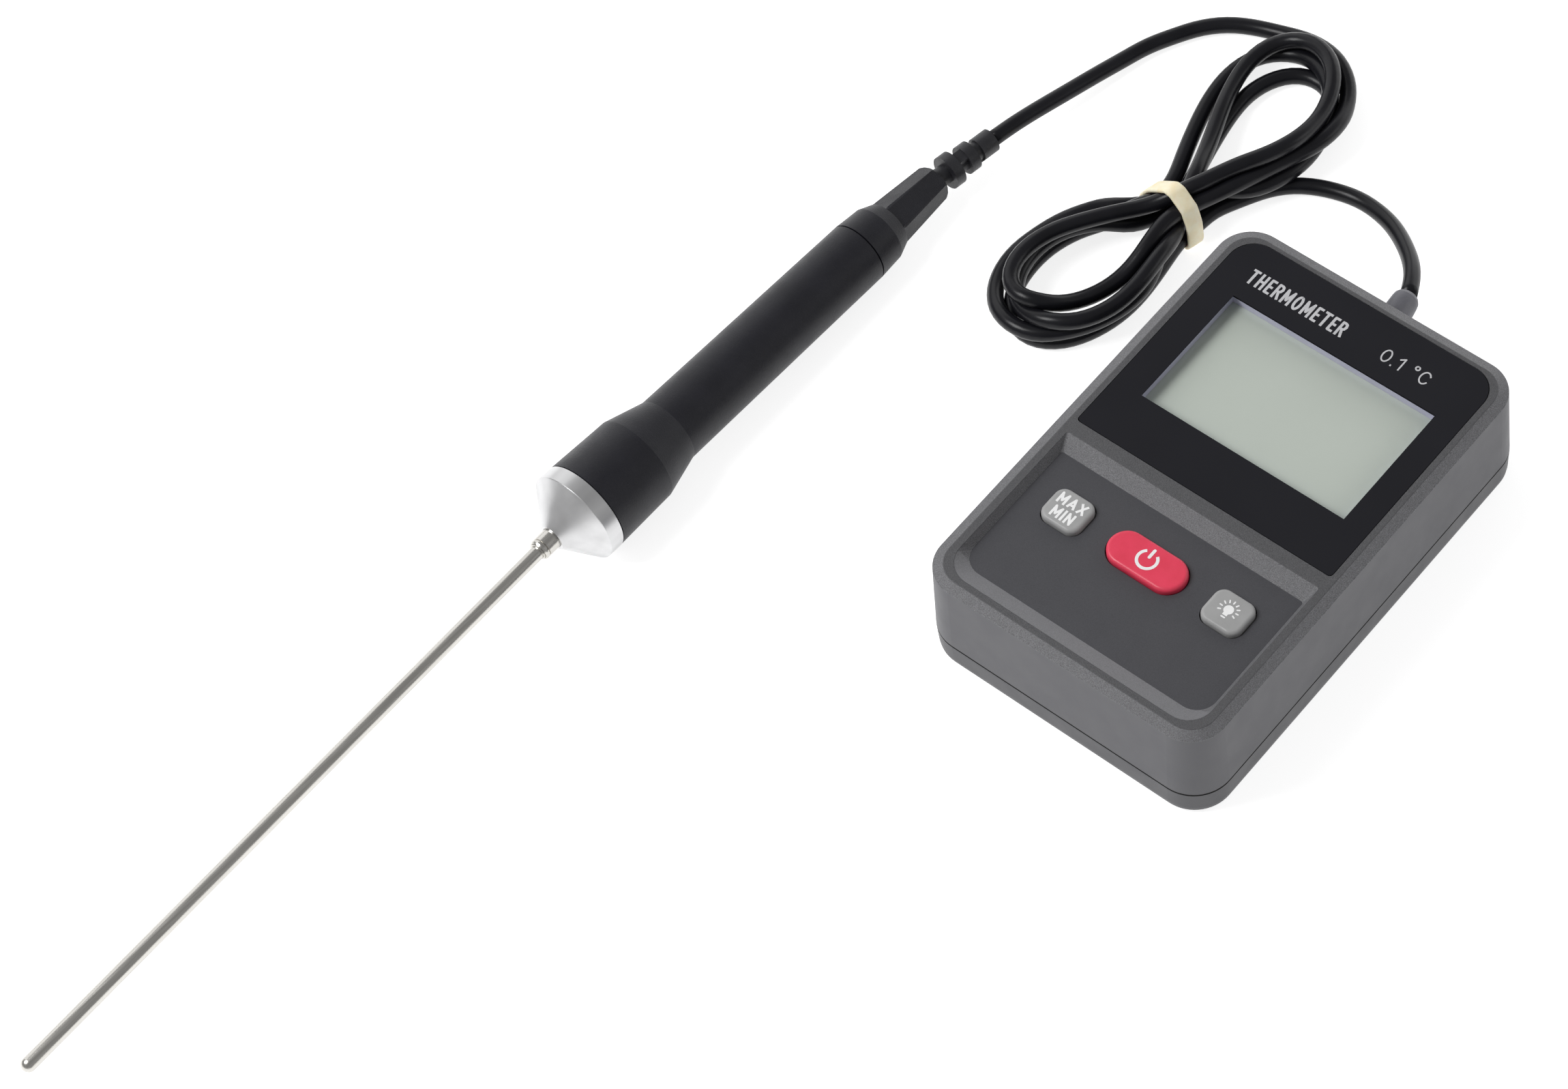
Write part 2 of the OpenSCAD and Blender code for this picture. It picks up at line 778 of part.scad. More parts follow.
module handle_grip() {
    color([0.12, 0.12, 0.13]) on_handle() rotate_extrude() polygon([
        [grip_bore, seam + gap], [grip_rear_r, seam + gap], [grip_r, neck_back], [11.1, collar_back],
        [flange_r - 0.05, flange_back - 0.15], [spigot_r + gap, flange_back - 0.15],
        [spigot_r + gap, -16.3], [grip_bore, -18]
    ]);
}

module nose_cone() {
    color("silver") difference() {
        on_handle() rotate_extrude() polygon([
            [0, 7.2], [3.3, 7.2], [flange_r - 0.12, 0.25], [flange_r, 0.1], [flange_r, flange_back + 0.15],
            [flange_r - 0.15, flange_back], [spigot_r, flange_back], [spigot_r, -16], [0, -16]
        ]);
        on_handle() translate([0, 0, -17]) cylinder(r = 4, h = 8.2);
        on_stem() translate([0, 0, -30]) cylinder(r = ferrule_r + gap, h = 40);
    }
}

module tube_ferrule() {
    color("silver") on_stem() difference() {
        rotate_extrude() polygon([
            [0, -12], [ferrule_r, -12], [ferrule_r, 3.1], [2.35, 3.2], [2.35, 3.45], [ferrule_r, 3.55],
            [ferrule_r, 4], [2.4, ferrule_reach], [0, ferrule_reach]
        ]);
        translate([0, 0, -13]) cylinder(r = tube_root_r + gap, h = 20);
    }
}

// ---- Immersion tube and sensor ----

module probe_tube() {
    bore_r = tube_r - 0.35;
    color("silver") on_stem() difference() {
        union() {
            translate([0, 0, -12]) cylinder(r = tube_root_r, h = 12 + wall_start);
            translate([0, 0, wall_start]) cylinder(r = tube_r, h = tube_tip - tube_r - wall_start);
            translate([0, 0, tube_tip - tube_r]) sphere(tube_r);
        }
        translate([0, 0, -13]) cylinder(r = bore_r, h = tube_tip + 13 - 2.4);
    }
}

module lead_sleeve() {
    color("white") on_stem() difference() {
        translate([0, 0, -12.5]) cylinder(r = 1.25, h = tube_tip - 17.5 + 12);
        translate([0, 0, -14]) cylinder(r = 0.95, h = tube_tip + 20);
    }
}

module sensor_leads() {
    color("silver") on_stem() for (turn = [0 : 90 : 270]) rotate(turn)
        translate([0.5, 0, -15.9]) cylinder(r = 0.2, h = tube_tip - 16.5 + 15.9);
}

module sensor_element() {
    color("ivory") on_stem() translate([0, 0, tube_tip - 16.4]) cylinder(r = 1.25, h = 13);
}

front_case();
rear_case();
battery_door();
display_lens();
window_print();
display_glass();
backlight_guide();
contact_strips();
circuit_board();
board_chips();
key_switches();
key_max_min();
key_power();
key_light();
battery_body();
battery_studs();
battery_snap();
snap_lead_red();
snap_lead_black();
case_screws();
board_screws();
cable_gland();
cord_tail_meter();
meter_wires();
wire_header();
cord_to_meter();
cord_hank();
cord_to_probe();
hank_band();
strain_relief();
cord_tail_probe();
cord_tie();
tail_wires();
splice_sleeves();
lead_wires();
lead_potting();
handle_end_cap();
handle_grip();
nose_cone();
tube_ferrule();
probe_tube();
lead_sleeve();
sensor_leads();
sensor_element();
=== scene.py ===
"""Handheld resistance thermometer: how it looks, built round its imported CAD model."""

import math

import bmesh
import bpy
import numpy as np
from mathutils import Matrix, Vector


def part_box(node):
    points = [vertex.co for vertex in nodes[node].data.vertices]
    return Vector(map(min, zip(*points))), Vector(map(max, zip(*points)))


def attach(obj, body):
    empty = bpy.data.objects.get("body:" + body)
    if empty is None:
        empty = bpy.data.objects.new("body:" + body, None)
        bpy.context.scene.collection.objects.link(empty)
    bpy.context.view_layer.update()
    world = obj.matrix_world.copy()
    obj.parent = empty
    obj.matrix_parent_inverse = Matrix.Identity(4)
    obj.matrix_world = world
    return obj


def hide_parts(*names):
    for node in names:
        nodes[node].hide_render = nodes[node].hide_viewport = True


MM = 0.001
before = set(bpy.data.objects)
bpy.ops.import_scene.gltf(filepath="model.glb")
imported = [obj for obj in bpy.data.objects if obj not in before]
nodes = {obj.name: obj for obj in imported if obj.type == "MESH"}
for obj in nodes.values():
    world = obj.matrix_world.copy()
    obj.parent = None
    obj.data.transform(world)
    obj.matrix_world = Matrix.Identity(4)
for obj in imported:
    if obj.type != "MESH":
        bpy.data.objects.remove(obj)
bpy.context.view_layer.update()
INSTRUMENT = "instrument"


# ---- Camera ----

CAMERA_PLACE = (0.33014, -0.40757, 0.82315)
CAMERA_RIGHT = Vector((0.7591, 0.6424, -0.1052))
CAMERA_UP = Vector((-0.4999, 0.6787, 0.5380))
LENS_MM = 100.49


def add_camera():
    data = bpy.data.cameras.new("camera")
    data.lens = LENS_MM
    data.sensor_width = 36
    data.clip_start, data.clip_end = 0.01, 20
    camera = bpy.data.objects.new("camera", data)
    bpy.context.scene.collection.objects.link(camera)
    right = CAMERA_RIGHT.normalized()
    back = right.cross(CAMERA_UP).normalized()
    up = back.cross(right)
    place = Matrix((right, up, back)).transposed().to_4x4()
    place.translation = CAMERA_PLACE
    camera.matrix_world = place
    bpy.context.scene.camera = camera


add_camera()


# ---- Mesh helpers ----


def mesh_piece(name, build, smooth=True):
    bm = bmesh.new()
    build(bm)
    bmesh.ops.recalc_face_normals(bm, faces=bm.faces)
    mesh = bpy.data.meshes.new(name)
    bm.to_mesh(mesh)
    bm.free()
    piece = bpy.data.objects.new(name, mesh)
    bpy.context.scene.collection.objects.link(piece)
    if smooth:
        mesh.polygons.foreach_set("use_smooth", [True] * len(mesh.polygons))
    return piece


def rings_mesh(bm, rings, closed_along=False, caps=True):
    """A skin over rings of equally many points."""
    rows = [[bm.verts.new(p) for p in ring] for ring in rings]
    n = len(rows[0])
    pairs = list(zip(rows, rows[1:] + rows[:1])) if closed_along else list(zip(rows, rows[1:]))
    for a, b in pairs:
        for k in range(n):
            bm.faces.new((a[k], a[(k + 1) % n], b[(k + 1) % n], b[k]))
    if caps and not closed_along:
        bm.faces.new(rows[0][::-1])
        bm.faces.new(rows[-1])


# ---- Cord: its route, in millimetres, from the probe to the meter ----

CORD_D = 4.0
PROBE_ROUTE = [
    (-110.6, 55.5, 6.5), (-109.5, 62, 6.2), (-108.2, 68.5, 5.6), (-106.8, 75, 4.8),
    (-105.4, 81.5, 4), (-104, 88, 3.2), (-102.2, 95, 2.5), (-100.2, 102, 2.1),
    (-97, 108, 2), (-93.2, 114, 2), (-88.2, 118.6, 2), (-82.2, 121.6, 2), (-76, 123.2, 2.6),
]
METER_ROUTE = [
    (-58.6, 70.5, 2), (-56.4, 75.2, 2), (-54, 79.8, 2), (-51.2, 84.6, 2), (-47.4, 88.6, 2),
    (-42.8, 91.4, 2), (-37.4, 93.3, 2.1), (-32, 94, 2.6), (-26.4, 93, 3.7), (-20.8, 90.8, 5.4),
    (-15.6, 87.4, 7.6), (-11, 83.6, 10), (-7.2, 79.8, 12.2), (-4.2, 75.8, 13.9), (-1.8, 71, 15),
]
# The strand that comes from the probe goes over the hank's far end and down its right side
OVER_THE_TOP = [
    (-70.6, 124, 3.8), (-64.4, 123.6, 5.2), (-57.8, 121.5, 6), (-52.2, 117.1, 6), (-48.7, 111.3, 6),
    (-47.5, 104, 6), (-48.8, 97, 6), (-51.6, 89.8, 6), (-54.5, 82.7, 6.2), (-57.3, 75.6, 6.8),
]
# Each end of each turn is an arc of an ellipse: centre x and y, half width, half length,
# turn in degrees, height, whether it lies beyond the tie, and whether the cord enters on the right
HANK_ENDS = [
    dict(centre=(-72, 38.2), half=(10.4, 16.3), turn=-24, z=8, beyond=False, from_right=True),
    dict(centre=(-62.9, 104.8), half=(11.3, 17.6), turn=16, z=8, beyond=True, from_right=True),
    dict(centre=(-70.4, 38.5), half=(12.4, 17.4), turn=-12, z=5, beyond=False, from_right=True),
    dict(centre=(-60.6, 101), half=(11.2, 16), turn=1, z=2.6, beyond=True, from_right=False),
    dict(centre=(-72.3, 38.6), half=(14.5, 20.8), turn=-17, z=2.8, beyond=False, from_right=True),
    dict(centre=(-63.4, 99.5), half=(14.2, 21), turn=15, z=4, beyond=True, from_right=False),
    dict(centre=(-69.6, 39), half=(12.8, 21), turn=-7, z=2.2, beyond=False, from_right=False),
]
# Where each strand crosses the tie: (sideways, height) at its far edge and at its near edge
TIE_CENTRE = (-63.3, 64.6)
TIE_TURN = -15
TIE_EDGE = 3.0
CROSSINGS = [
    ((2.4, 7.6), (2.4, 8.4)), ((-1.6, 8.8), (-2.6, 8.8)), ((-0.5, 5.2), (4.4, 5)),
    ((-3.8, 2), (-3.5, 2.2)), ((0.4, 2), (0.5, 2)), ((-7.7, 2.2), (-7.6, 2.2)),
    ((-4.4, 5.6), (-5.8, 5.4)), ((4.5, 2), (4.6, 2)),
]
ARC_POINTS = 12
# How far across the table a strand shifts for each millimetre that it settles
SETTLE_SHIFT = np.array((-0.5, 0.43))
KEPT_AT_PROBE, KEPT_AT_METER = 58, 40      # points at the cord's ends that don't settle


def across_tie(sideways, z, edge):
    a = math.radians(TIE_TURN)
    x = TIE_CENTRE[0] + sideways * math.cos(a) - edge * TIE_EDGE * math.sin(a)
    y = TIE_CENTRE[1] + sideways * math.sin(a) + edge * TIE_EDGE * math.cos(a)
    return (x, y, z)


def touch_angle(end, point):
    """A point's direction from an ellipse's centre, and how far round from it a straight cord touches."""
    a = math.radians(end["turn"])
    dx, dy = point[0] - end["centre"][0], point[1] - end["centre"][1]
    u = (dx * math.cos(a) + dy * math.sin(a)) / end["half"][0]
    v = (-dx * math.sin(a) + dy * math.cos(a)) / end["half"][1]
    return math.degrees(math.atan2(v, u)), math.degrees(math.acos(1 / max(math.hypot(u, v), 1.0001)))


def hank_end(end, entry, leave):
    """The cord's points round one end of the hank, from where it leaves the tie to where it comes back."""
    sense = 1 if end["beyond"] == end["from_right"] else -1
    towards_in, touch_in = touch_angle(end, entry)
    towards_out, touch_out = touch_angle(end, leave)
    start = towards_in + sense * touch_in
    stop = towards_out - sense * touch_out + sense * 360
    a = math.radians(end["turn"])
    points = []
    for k in range(ARC_POINTS):
        t = math.radians(start + (stop - start) * k / (ARC_POINTS - 1))
        u, v = end["half"][0] * math.cos(t), end["half"][1] * math.sin(t)
        x = end["centre"][0] + u * math.cos(a) - v * math.sin(a)
        y = end["centre"][1] + u * math.sin(a) + v * math.cos(a)
        points.append((x, y, end["z"]))
    return points


def halfway(p, q):
    return tuple((a + b) / 2 for a, b in zip(p, q))


def cord_route():
    points = PROBE_ROUTE + OVER_THE_TOP
    for i, (far, near) in enumerate(CROSSINGS):
        edges = [across_tie(*far, 1), across_tie(*near, -1)]
        points = points + (edges if i % 2 == 0 else edges[::-1])
        if i < len(HANK_ENDS):
            end = HANK_ENDS[i]
            following = CROSSINGS[i + 1]
            back = across_tie(*following[0], 1) if end["beyond"] else across_tie(*following[1], -1)
            arc = hank_end(end, points[-1], back)
            points = points + [halfway(points[-1], arc[0])] + arc + [halfway(arc[-1], back)]
    return np.array(points + METER_ROUTE, float)


def evenly(points, step):
    run = np.r_[0, np.cumsum(np.linalg.norm(np.diff(points, axis=0), axis=1))]
    places = np.linspace(0, run[-1], int(round(run[-1] / step)) + 1)
    return np.stack([np.interp(places, run, points[:, k]) for k in range(3)], 1)


def smooth_line(points, step):
    """A smooth curve through the points, as evenly spaced points."""
    h = np.linalg.norm(np.diff(points, axis=0), axis=1)[:, None]
    way = np.diff(points, axis=0) / h
    inner = (way[1:] * h[:-1] + way[:-1] * h[1:]) / (h[1:] + h[:-1])
    slope = np.vstack([way[:1], inner, way[-1:]])
    t = np.linspace(0, 1, 16, endpoint=False)[:, None]
    pieces = []
    for i in range(len(points) - 1):
        a, b, c, d = points[i], points[i + 1], slope[i] * h[i], slope[i + 1] * h[i]
        pieces.append(
            a * (2 * t**3 - 3 * t**2 + 1) + c * (t**3 - 2 * t**2 + t)
            + b * (3 * t**2 - 2 * t**3) + d * (t**3 - t**2)
        )
    return evenly(np.vstack(pieces + [points[-1:]]), step)


def settle(line, rounds=260):
    """Lets the hank's strands push each other apart, bend evenly and lie down under their own weight."""
    n = len(line)
    rest = np.linalg.norm(np.diff(line, axis=0), axis=1).mean()
    home, x = line.copy(), line.copy()
    first, second = np.triu_indices(n, int(round(2.2 * CORD_D / rest)))
    kept = np.zeros(n, bool)
    kept[:KEPT_AT_PROBE] = kept[-KEPT_AT_METER:] = True
    for _ in range(rounds):
        sag = np.zeros_like(x)
        sag[1:-1] = 0.5 * (x[2:] + x[:-2]) - x[1:-1]
        x[2:-2] += 0.35 * (sag[2:-2] - 0.5 * (sag[3:-1] + sag[1:-3]))
        x[:, 2] -= 0.012
        target = home[:, :2] + (home[:, 2:] - x[:, 2:]) * SETTLE_SHIFT
        x[:, :2] += 0.06 * (target - x[:, :2])
        for _ in range(2):
            gap = x[second] - x[first]
            far = np.linalg.norm(gap, axis=1)
            near = far < CORD_D
            i, j, gap, far = first[near], second[near], gap[near], np.maximum(far[near], 1e-3)
            way = gap / far[:, None]
            way[:, 2] += 0.35 * np.sign(home[j, 2] - home[i, 2] + 1e-6)
            way /= np.linalg.norm(way, axis=1)[:, None]
            push = way * ((CORD_D - far) * 0.3)[:, None]
            total = np.zeros_like(x)
            np.add.at(total, j, push)
            np.add.at(total, i, -push)
            x += total / np.sqrt(np.maximum(1, np.bincount(np.r_[i, j], minlength=n)))[:, None]
            x[:, 2] = np.maximum(x[:, 2], CORD_D / 2)
            step = x[1:] - x[:-1]
            long = np.linalg.norm(step, axis=1)
            fix = step * (0.25 * (long - rest) / long)[:, None]
            x[:-1] += fix
            x[1:] -= fix
            x[kept] = home[kept]
    return x


def soften(line, rounds=6):
    """Evens out the last small kinks without moving the ends."""
    line = line.copy()
    for _ in range(rounds):
        middle = 0.25 * line[:-2] + 0.5 * line[1:-1] + 0.25 * line[2:]
        bulge = line[1:-1] - middle
        line[1:-1] = middle
        line[2:-2] += 0.5 * bulge[1:-1]
        line[:, 2] = np.maximum(line[:, 2], CORD_D / 2)
    return line


def tube_rings(line, radius, sides=16):
    """Rings of points round a line, carried along it without twisting."""
    way = np.gradient(line, axis=0)
    way /= np.linalg.norm(way, axis=1)[:, None]
    side = np.cross(way[0], (0, 0, 1))
    turns = np.linspace(0, 2 * math.pi, sides, endpoint=False)
    rings = []
    for place, ahead in zip(line, way):
        side = side - ahead * (side @ ahead)
        side /= np.linalg.norm(side)
        other = np.cross(ahead, side)
        rings.append([place + radius * (math.cos(t) * side + math.sin(t) * other) for t in turns])
    return rings


cord_line = soften(settle(smooth_line(cord_route(), 2.0)))
cord = mesh_piece("cord", lambda bm: rings_mesh(bm, tube_rings(cord_line * MM, CORD_D / 2 * MM)))
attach(cord, INSTRUMENT)
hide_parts("cord_to_probe", "cord_hank", "cord_to_meter")


# ---- Rubber band round the hank ----

BAND_W, BAND_T = 4.3, 0.9
FOLD_H = 0.32                              # a low ridge along part of the band's outside


def band_outline(count):
    """The tight loop round the strands at the tie: points of (sideways, height), and outward directions."""
    a = math.radians(TIE_TURN)
    side, along = np.array((math.cos(a), math.sin(a))), np.array((-math.sin(a), math.cos(a)))
    flat = cord_line[:, :2] - np.array(TIE_CENTRE)
    near = np.abs(flat @ along) < 3.4
    here = np.stack([(flat @ side)[near], cord_line[near, 2]], 1)
    here = here[np.abs(here[:, 0]) < 14]
    angles = np.linspace(0, 2 * math.pi, count, endpoint=False)
    ways = np.stack([np.cos(angles), np.sin(angles)], 1)
    reach = (here @ ways.T).max(0) + CORD_D / 2
    slope = (np.roll(reach, -1) - np.roll(reach, 1)) / (2 * 2 * math.pi / count)
    turn = np.stack([-np.sin(angles), np.cos(angles)], 1)
    loop = ways * reach[:, None] + turn * slope[:, None]
    return loop, ways


def band_rings(count=120):
    a = math.radians(TIE_TURN)
    side, along = Vector((math.cos(a), math.sin(a), 0)), Vector((-math.sin(a), math.cos(a), 0))
    loop, ways = band_outline(count)
    for _ in range(4):
        loop = 0.25 * np.roll(loop, 1, 0) + 0.5 * loop + 0.25 * np.roll(loop, -1, 0)
    # rounded edges of the band's cross-section, as (along the hank, out from it)
    h, t = BAND_W / 2, BAND_T
    section = [
        (-h, 0.1), (-h + 0.12, 0), (h - 0.12, 0), (h, 0.1), (h, t - 0.25),
        (h - 0.3, t), (0, t + 0.05), (-h + 0.3, t), (-h, t - 0.25),
    ]
    rings = []
    for k, ((s, z), (ws, wz)) in enumerate(zip(loop, ways)):
        part = 2 * math.pi * k / count
        skew = 0.35 * math.sin(part + 0.6) + 0.15 * math.sin(3 * part)
        ring = []
        for p, q in section:
            out = q
            if q > t / 2:
                out += FOLD_H * math.exp(-((p - 0.5) / 0.3) ** 2) * math.exp(-(((part - 0.75) / 0.5) ** 2))
            place = Vector((TIE_CENTRE[0], TIE_CENTRE[1], 0)) + side * (s + ws * out) + along * (p + skew)
            place.z = max(z + wz * out, 0.05)
            ring.append(place * MM)
        rings.append(ring)
    return rings


band = mesh_piece("rubber_band", lambda bm: rings_mesh(bm, band_rings(), closed_along=True))
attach(band, INSTRUMENT)
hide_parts("hank_band")


# ---- Materials ----


class Look:
    """A node material built up from object-space patterns."""

    def __init__(self, name, rough=0.5, metal=0.0, coat=0.0, ior=1.5):
        self.material = bpy.data.materials.new(name)
        self.material.use_nodes = True
        self.tree = self.material.node_tree
        self.shader = self.tree.nodes["Principled BSDF"]
        self.shader.inputs["Roughness"].default_value = rough
        self.shader.inputs["Metallic"].default_value = metal
        self.shader.inputs["Coat Weight"].default_value = coat
        self.shader.inputs["IOR"].default_value = ior
        self.place = self.add("ShaderNodeTexCoord").outputs["Object"]

    def add(self, kind, **values):
        node = self.tree.nodes.new(kind)
        for key, value in values.items():
            setattr(node, key, value)
        return node

    def link(self, a, b):
        self.tree.links.new(a, b)

    def feed(self, socket, value):
        if hasattr(value, "is_linked"):
            self.link(value, socket)
        else:
            socket.default_value = value

    def math(self, operation, a, b=0.0):
        node = self.add("ShaderNodeMath", operation=operation)
        self.feed(node.inputs[0], a)
        self.feed(node.inputs[1], b)
        return node.outputs[0]

    def times(self, first, *others):
        """A product, which for masks is where all of them hold."""
        for other in others:
            first = self.math("MULTIPLY", first, other)
        return first

    def outside(self, mask):
        return self.math("SUBTRACT", 1.0, mask)

    def above(self, value, mm):
        return self.math("GREATER_THAN", value, mm * MM)

    def inside(self, value, low_mm, high_mm):
        return self.times(self.above(value, low_mm), self.math("LESS_THAN", value, high_mm * MM))

    def xyz(self):
        node = self.add("ShaderNodeSeparateXYZ")
        self.link(self.place, node.inputs[0])
        return node.outputs

    def noise(self, size_mm, detail=2.0, place=None, roughness=0.5):
        node = self.add("ShaderNodeTexNoise")
        self.link(place or self.place, node.inputs["Vector"])
        node.inputs["Scale"].default_value = 1 / (size_mm * MM)
        node.inputs["Detail"].default_value = detail
        node.inputs["Roughness"].default_value = roughness
        return node.outputs["Fac"]

    def stretched(self, scale, place):
        node = self.add("ShaderNodeMapping")
        self.link(place, node.inputs["Vector"])
        node.inputs["Scale"].default_value = scale
        return node.outputs[0]

    def ramp(self, value, low, high, start=0.3, end=0.7):
        node = self.add("ShaderNodeValToRGB")
        self.link(value, node.inputs[0])
        node.color_ramp.elements[0].position = start
        node.color_ramp.elements[0].color = (*low, 1)
        node.color_ramp.elements[1].position = end
        node.color_ramp.elements[1].color = (*high, 1)
        return node.outputs["Color"]

    def between(self, value, low, high, start=0.3, end=0.7):
        node = self.add("ShaderNodeMapRange")
        self.link(value, node.inputs["Value"])
        for key, amount in (("From Min", start), ("From Max", end), ("To Min", low), ("To Max", high)):
            node.inputs[key].default_value = amount
        return node.outputs["Result"]

    def mix(self, mask, a, b):
        node = self.add("ShaderNodeMix", data_type="RGBA")
        self.feed(node.inputs["Factor"], mask)
        self.feed(node.inputs[6], a if hasattr(a, "is_linked") else (*a, 1))
        self.feed(node.inputs[7], b if hasattr(b, "is_linked") else (*b, 1))
        return node.outputs[2]

    def colour(self, value):
        self.link(value, self.shader.inputs["Base Color"])

    def roughness(self, value):
        self.link(value, self.shader.inputs["Roughness"])

    def bump(self, height, depth_mm):
        node = self.add("ShaderNodeBump")
        node.inputs["Distance"].default_value = depth_mm * MM
        node.inputs["Strength"].default_value = 1.0
        self.link(height, node.inputs["Height"])
        self.link(node.outputs[0], self.shader.inputs["Normal"])


def plain(name, low, high, rough, size_mm=3.0, metal=0.0, grain_mm=0.3, depth_mm=0.01):
    """Moulded, cast or plated stuff: slightly uneven colour and gloss with a fine grain."""
    look = Look(name, rough, metal)
    look.colour(look.ramp(look.noise(size_mm, 3), low, high))
    look.roughness(look.between(look.noise(size_mm * 0.7, 2), rough - 0.06, rough + 0.06))
    if depth_mm:
        look.bump(look.noise(grain_mm, 2), depth_mm)
    return look


def grey(value, blue=1.06):
    return (value, value, value * blue)


SMOOTH_GREY, TEXTURE_GREY, FIELD_GREY = 0.070, 0.14, 0.059
# Places on the meter, in millimetres: joint line, key field, window, and heights of the front's steps
PARTING_Z, PARTING_HALF = 7.8, 0.4
FIELD_HALF_W, FIELD_LOW, FIELD_HIGH, LOW_SLOPE_TOP = 34, -54.45, -10.75, -48.6
WINDOW_HALF_W, WINDOW_LOW, WINDOW_HIGH, WINDOW_Y = 27.3, 6.9, 40, 23.45
DISPLAY_HALF_W, DISPLAY_HALF_L = 29, 18.5
FLOOR_Z, SLOPE_Z, CHAMFER_Z, LENS_TOP_Z, FLAT_RIM_Z = 27.9, 28.03, 29.04, 30, 30.12


def case_look():
    """Satin sides, a spark-eroded grain on the rim and slopes, and a smooth slope under the keys painted
    lighter as a painted reflection; painted shade darkens the flat rim and the rear shell, and the window's
    walls are painted pale violet as painted light.
    """
    look = Look("case_plastic", 0.5)
    x, y, z = look.xyz()
    fine, soft = look.noise(0.22, 3, roughness=0.7), look.noise(6, 3)
    field = look.times(look.inside(x, -FIELD_HALF_W, FIELD_HALF_W), look.inside(y, FIELD_LOW, FIELD_HIGH))
    low_slope_painted_reflection = look.times(
        field, look.inside(y, FIELD_LOW, LOW_SLOPE_TOP), look.inside(z, SLOPE_Z, FLAT_RIM_Z)
    )
    slope = look.times(field, look.above(z, SLOPE_Z))
    grained = look.times(look.math("MAXIMUM", look.above(z, CHAMFER_Z), slope), look.outside(low_slope_painted_reflection))
    flat_rim_painted_shade = look.times(grained, look.above(z, FLAT_RIM_Z))
    floor = look.times(field, look.inside(z, FLOOR_Z, SLOPE_Z))
    # the window's recess walls, which are given painted light below
    window = look.times(
        look.inside(x, -WINDOW_HALF_W - 0.3, WINDOW_HALF_W + 0.3),
        look.inside(y, WINDOW_LOW - 0.5, WINDOW_HIGH + 0.4),
        look.inside(z, 26.8, 29),
    )
    rear = look.outside(look.above(z, PARTING_Z))
    parting = look.inside(z, PARTING_Z - PARTING_HALF, PARTING_Z + PARTING_HALF)
    speckled = look.ramp(fine, grey(TEXTURE_GREY * 0.55), grey(TEXTURE_GREY * 1.55), 0.32, 0.68)
    # painted shade: the grain on the upward-facing flat rim is mixed towards near-black
    speckled = look.mix(look.times(flat_rim_painted_shade, 0.6), speckled, (0.032, 0.032, 0.035))
    base = look.ramp(soft, grey(SMOOTH_GREY * 0.96, 1.13), grey(SMOOTH_GREY * 1.05, 1.13))
    base = look.mix(grained, base, speckled)
    # painted reflection: the smooth slope under the keys is painted a lighter grey for the light it reflects
    base = look.mix(low_slope_painted_reflection, base, look.ramp(fine, grey(0.13), grey(0.22)))
    # painted shade: the rear shell below the joint line is darkened for the shade on its inward-tapering
    # underside
    base = look.mix(look.times(rear, 0.4), base, (0.02, 0.02, 0.023))
    base = look.mix(parting, base, (0.005, 0.005, 0.006))
    floor_grey = look.ramp(fine, grey(FIELD_GREY * 0.86, 1.13), grey(FIELD_GREY * 1.14, 1.13))
    base = look.mix(floor, base, floor_grey)
    # painted light: the window's recess walls are painted pale violet for the display's light that falls on
    # them
    look.colour(look.mix(window, base, look.ramp(soft, (0.56, 0.56, 0.7), (0.62, 0.62, 0.76))))
    look.roughness(look.math("ADD", look.between(soft, 0.42, 0.5), look.times(grained, -0.09)))
    grain = look.times(fine, look.math("MAXIMUM", grained, look.times(floor, 0.3)))
    look.bump(look.math("ADD", grain, look.times(look.noise(0.8, 2), 0.06)), 0.12)
    return look


def lens_look():
    """Glossy near-black, clear over the display; the print on its underside bounds the clear part."""
    look = Look("lens_plastic", 0.14, ior=1.49)
    x, y, z = look.xyz()
    top = look.above(z, LENS_TOP_Z)
    # the clear part of the top face lies a little towards +x and -y of the opening below it
    upper = look.times(
        look.inside(x, -WINDOW_HALF_W + 0.6, WINDOW_HALF_W + 0.6),
        look.inside(y, WINDOW_LOW - 0.6, WINDOW_HIGH - 0.5),
        top,
    )
    lower = look.times(
        look.inside(x, -WINDOW_HALF_W, WINDOW_HALF_W),
        look.inside(y, WINDOW_LOW, WINDOW_HIGH),
        look.outside(top),
    )
    clear = look.math("ADD", upper, lower)
    base = look.ramp(look.noise(30, 2), (0.0075, 0.0075, 0.011), (0.0095, 0.0095, 0.0135))
    look.colour(look.mix(top, (0.02, 0.02, 0.024), base))
    look.link(look.outside(look.times(clear, 0.95)), look.shader.inputs["Alpha"])
    look.roughness(look.between(look.noise(30, 2), 0.12, 0.15))
    return look


def display_look():
    """An unpowered liquid crystal: grey-green, a little darker towards its edges, which is painted shade
    from the window's recess.
    """
    look = Look("display_glass", 0.3, coat=0.4)
    x, y, _ = look.xyz()
    tint = look.ramp(look.noise(40, 2), (0.64, 0.70, 0.63), (0.67, 0.73, 0.66))
    edges = []
    for value, middle, half in ((x, 0, DISPLAY_HALF_W), (y, WINDOW_Y, DISPLAY_HALF_L)):
        distance = look.math("ABSOLUTE", look.math("SUBTRACT", value, middle * MM))
        edges.append(look.math("POWER", look.times(distance, 1 / (half * MM)), 8.0))
    # painted shade: the display is darkened towards its edges where the recess shades it
    edge = look.math("MINIMUM", look.math("ADD", *edges), 1.0)
    look.colour(look.mix(look.times(edge, 0.5), tint, (0.33, 0.37, 0.34)))
    look.roughness(look.between(look.noise(30, 2), 0.28, 0.32))
    look.bump(look.noise(30, 2), 0.003)
    return look


